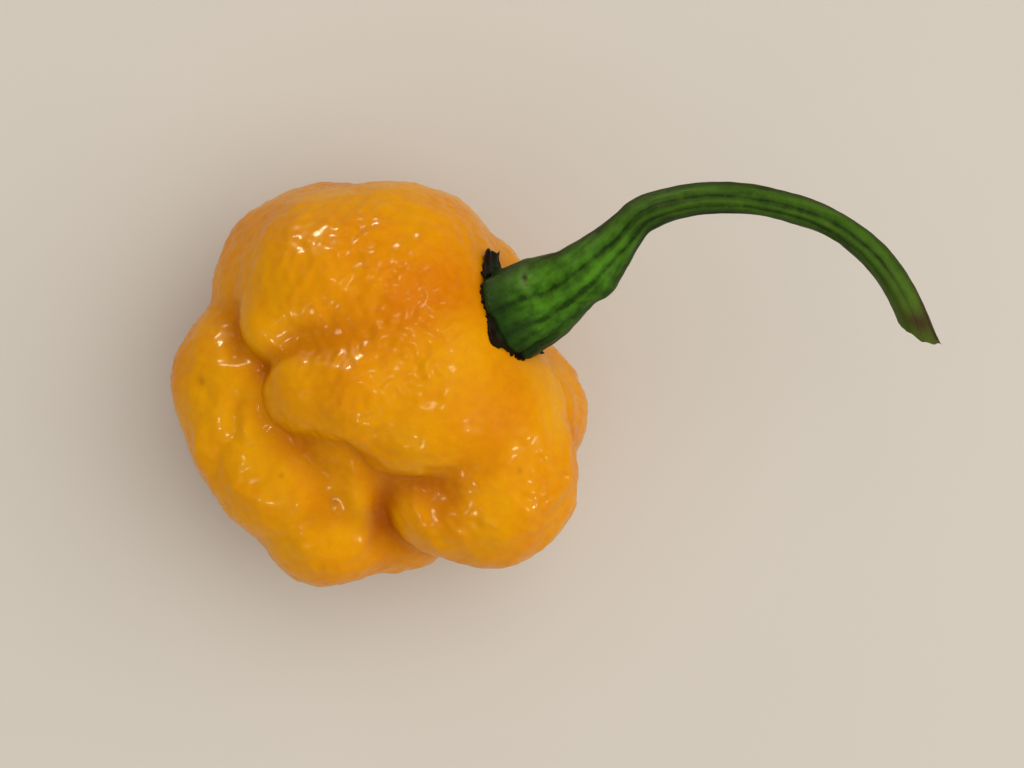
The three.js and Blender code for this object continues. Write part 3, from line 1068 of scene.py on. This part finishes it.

# %% [markdown]
# ## The stem's rind
#
# The stem is green with darker grooves and lighter crests, and along its top the light stripes are
# partly a painted highlight. Its colour runs along it in streaks, so the pattern reads the grain
# that the mesh carries instead of plain space. Near the foot it is a brighter green, and close to
# the calyx it is darkened to a deep green as painted shade. The ribs at its sides are darkened to
# brown. Towards the cut it yellows and has brown marks, and the cut itself is dry and brown.

# %% the stem's greens
material, tree, shader, where = new_material("green_stem_rind")
stem.data.materials.append(material)
grain_place = reading(tree, "grain", "Vector")
streaks = mask_from(tree, mottling, Vector=grain_place, Scale=1.4, Detail=4.0, Contrast=2.8)
patches = mask_from(tree, mottling, Vector=where, Scale=900.0, Detail=4.0, Contrast=3.0)
flecks = mask_from(tree, speckle, Vector=where, Scale=1800.0, Size=0.4)
along = reading(tree, "along")
past_knee = soft_step(tree, along, 8.0, 20.0)

# The stripes are partly the stem's own crests and grooves and partly a painted highlight along its top.
streaks_stripes_and_highlight = arithmetic(tree, "MULTIPLY_ADD", streaks, 0.5, 0.25)
streaks_stripes_and_highlight = arithmetic(tree, "MULTIPLY_ADD", reading(tree, "stripe"), 0.42, streaks_stripes_and_highlight)
blotches = arithmetic(tree, "SUBTRACT", patches, 0.5)
blotching = arithmetic(tree, "MULTIPLY_ADD", past_knee, -0.15, 0.5)
light = arithmetic(tree, "MULTIPLY_ADD", blotches, blotching, streaks_stripes_and_highlight, clamp=True)
foot_green = between(tree, light, colour("1c4000"), colour("4e8814"))
stalk_green = between(tree, light, colour("183000"), colour("40640e"))
rind = between(tree, past_knee, foot_green, stalk_green)

# %% the stem's marks
side_rib_darkening = arithmetic(tree, "MULTIPLY_ADD", streaks, 0.8, 0.2)
rind = laid_over(tree, rind, (
    (soft_step(tree, reading(tree, "to_tip"), 12.0, 1.0), 0.5, "546a1c"),
    (flecks, 0.06, "86a64c"),
    # the ribs at the stem's two sides darkened to brown, more along the streaks
    (reading(tree, "outer_rib"), side_rib_darkening, "332a14"),
    (reading(tree, "pore_ring"), 0.6, "64922c"),
    (reading(tree, "pore"), 1.0, "262404"),
    (reading(tree, "browned"), 0.9, "3c220e"),
    # a greyish brown line at the very lip of the foot
    (soft_step(tree, along, 0.35, 0.1), 0.4, "5a5446"),
    # painted shade: the foot darkened to a deep green close to the calyx
    (soft_step(tree, along, 3.4, 0.3), 0.8, "0c2a0a"),
    (reading(tree, "cut"), 1.0, "5e4030"),
))
tree.links.new(rind, shader.inputs["Base Color"])

# %% the stem's shine
dull = arithmetic(tree, "MULTIPLY_ADD", patches, 0.2, 0.42)
tree.links.new(dull, shader.inputs["Roughness"])
grains = arithmetic(tree, "MULTIPLY_ADD", flecks, 0.3, streaks)
bump = add(tree, "ShaderNodeBump", Strength=0.5, Distance=0.00012, Height=grains)
tree.links.new(bump.outputs["Normal"], shader.inputs["Normal"])
shader.inputs["Specular IOR Level"].default_value = 0.1
shader.inputs["Subsurface Weight"].default_value = 0.08
shader.inputs["Subsurface Radius"].default_value = (0.4, 1.0, 0.15)
shader.inputs["Subsurface Scale"].default_value = 0.0008

# %% [markdown]
# ## The table
#
# The pepper lies on a plain pale surface. It is far larger than the view, so that no edge of it
# shows from any side, and it is slightly cloudy, so that it doesn't look like empty space.

# %% the table
TABLE_HALF = 1.5

material, tree, shader, where = new_material("pale_table")
cloud = mask_from(tree, mottling, Vector=where, Scale=25.0, Detail=2.0, Contrast=0.6)
tree.links.new(between(tree, cloud, colour("d0cabf"), colour("d6d0c6")), shader.inputs["Base Color"])
shader.inputs["Roughness"].default_value = 0.8
shader.inputs["Specular IOR Level"].default_value = 0.2
corners = [(x * TABLE_HALF, y * TABLE_HALF, 0) for x, y in ((-1, -1), (1, -1), (1, 1), (-1, 1))]
table_mesh = bpy.data.meshes.new("table")
table_mesh.from_pydata(corners, [], [(0, 1, 2, 3)])
table_mesh.materials.append(material)
table = bpy.data.objects.new("table", table_mesh)
bpy.context.scene.collection.objects.link(table)

# %% [markdown]
# ## The light
#
# An even room and one wide lamp overhead show the shape and give a soft shadow. Wax shows small
# bright marks where it mirrors something small and bright. A small lamp strong enough for that
# would also light the table, so each of the five glints is switched off for plain surfaces, and
# the wide lamp for shiny ones, where it would whiten the whole pod. The room is dimmed there too.

# %% the lamps
def lamp(name, towards, distance, width, height, power, tint):
    """A rectangular lamp in a direction from the pod's heart, at a distance, facing it."""
    data = bpy.data.lights.new(name, "AREA")
    data.shape = "RECTANGLE"
    data.size = width
    data.size_y = height
    data.energy = power
    data.color = colour(tint)[:3]
    made = bpy.data.objects.new(name, data)
    out = Vector(towards).normalized()
    made.location = Vector(heart) + distance * out
    made.rotation_mode = "QUATERNION"
    made.rotation_quaternion = (-out).to_track_quat("-Z", "Y")
    bpy.context.scene.collection.objects.link(made)
    return made


ceiling = lamp("ceiling", (0.5, 0.1, 0.8), 1.2, 1.4, 1.4, 10.4, "fffaf4")
ceiling.visible_glossy = False
glints = (
    lamp("far_glint", (-0.40, 0.84, 0.40), 0.8, 0.20, 0.07, 7.6, "fff3cc"),
    lamp("overhead_glint", (0.10, 0.22, 1.0), 0.9, 0.14, 0.14, 1.8, "fff3cc"),
    lamp("side_glint", (0.80, -0.45, 0.40), 0.8, 0.07, 0.14, 2.2, "fff0c8"),
    lamp("near_glint", (-0.55, -0.50, 0.65), 0.8, 0.06, 0.08, 0.9, "fff0c8"),
    lamp("low_glint", (-0.15, -0.80, 0.55), 0.8, 0.08, 0.05, 1.2, "fff0c8"),
)
for glint in glints:
    glint.visible_diffuse = False

# %% the room
ROOM_LIGHT = 0.63
ROOM_REFLECTED = 0.06

world = bpy.data.worlds.new("room")
world.use_nodes = True
tree = world.node_tree
mirrored = add(tree, "ShaderNodeLightPath").outputs["Is Glossy Ray"]
strength = arithmetic(tree, "MULTIPLY_ADD", mirrored, ROOM_REFLECTED - ROOM_LIGHT, ROOM_LIGHT)
tree.nodes["Background"].inputs["Color"].default_value = colour("f4f1ee")
tree.links.new(strength, tree.nodes["Background"].inputs["Strength"])
bpy.context.scene.world = world
bpy.context.scene.view_settings.view_transform = "Standard"

# %% [markdown]
# ## The camera
#
# The camera looks straight down. Its lens is worked out from how wide the view is, in
# millimetres, at the height of the pod's heart.

# %% the camera
CAMERA_PLACE = (13.86, -0.1, 260.0)
VIEW_WIDTH = 107.52

camera_data = bpy.data.cameras.new("camera")
camera_data.lens = camera_data.sensor_width * CAMERA_PLACE[2] / VIEW_WIDTH
camera_data.clip_start = 0.01
camera = bpy.data.objects.new("camera", camera_data)
camera.location = placed(np.array(CAMERA_PLACE))
bpy.context.scene.collection.objects.link(camera)
bpy.context.scene.camera = camera

# %% [markdown]
# ## The end
#
# The view layer is brought up to date, so that every piece stands where it was placed.

# %% finish
bpy.context.view_layer.update()
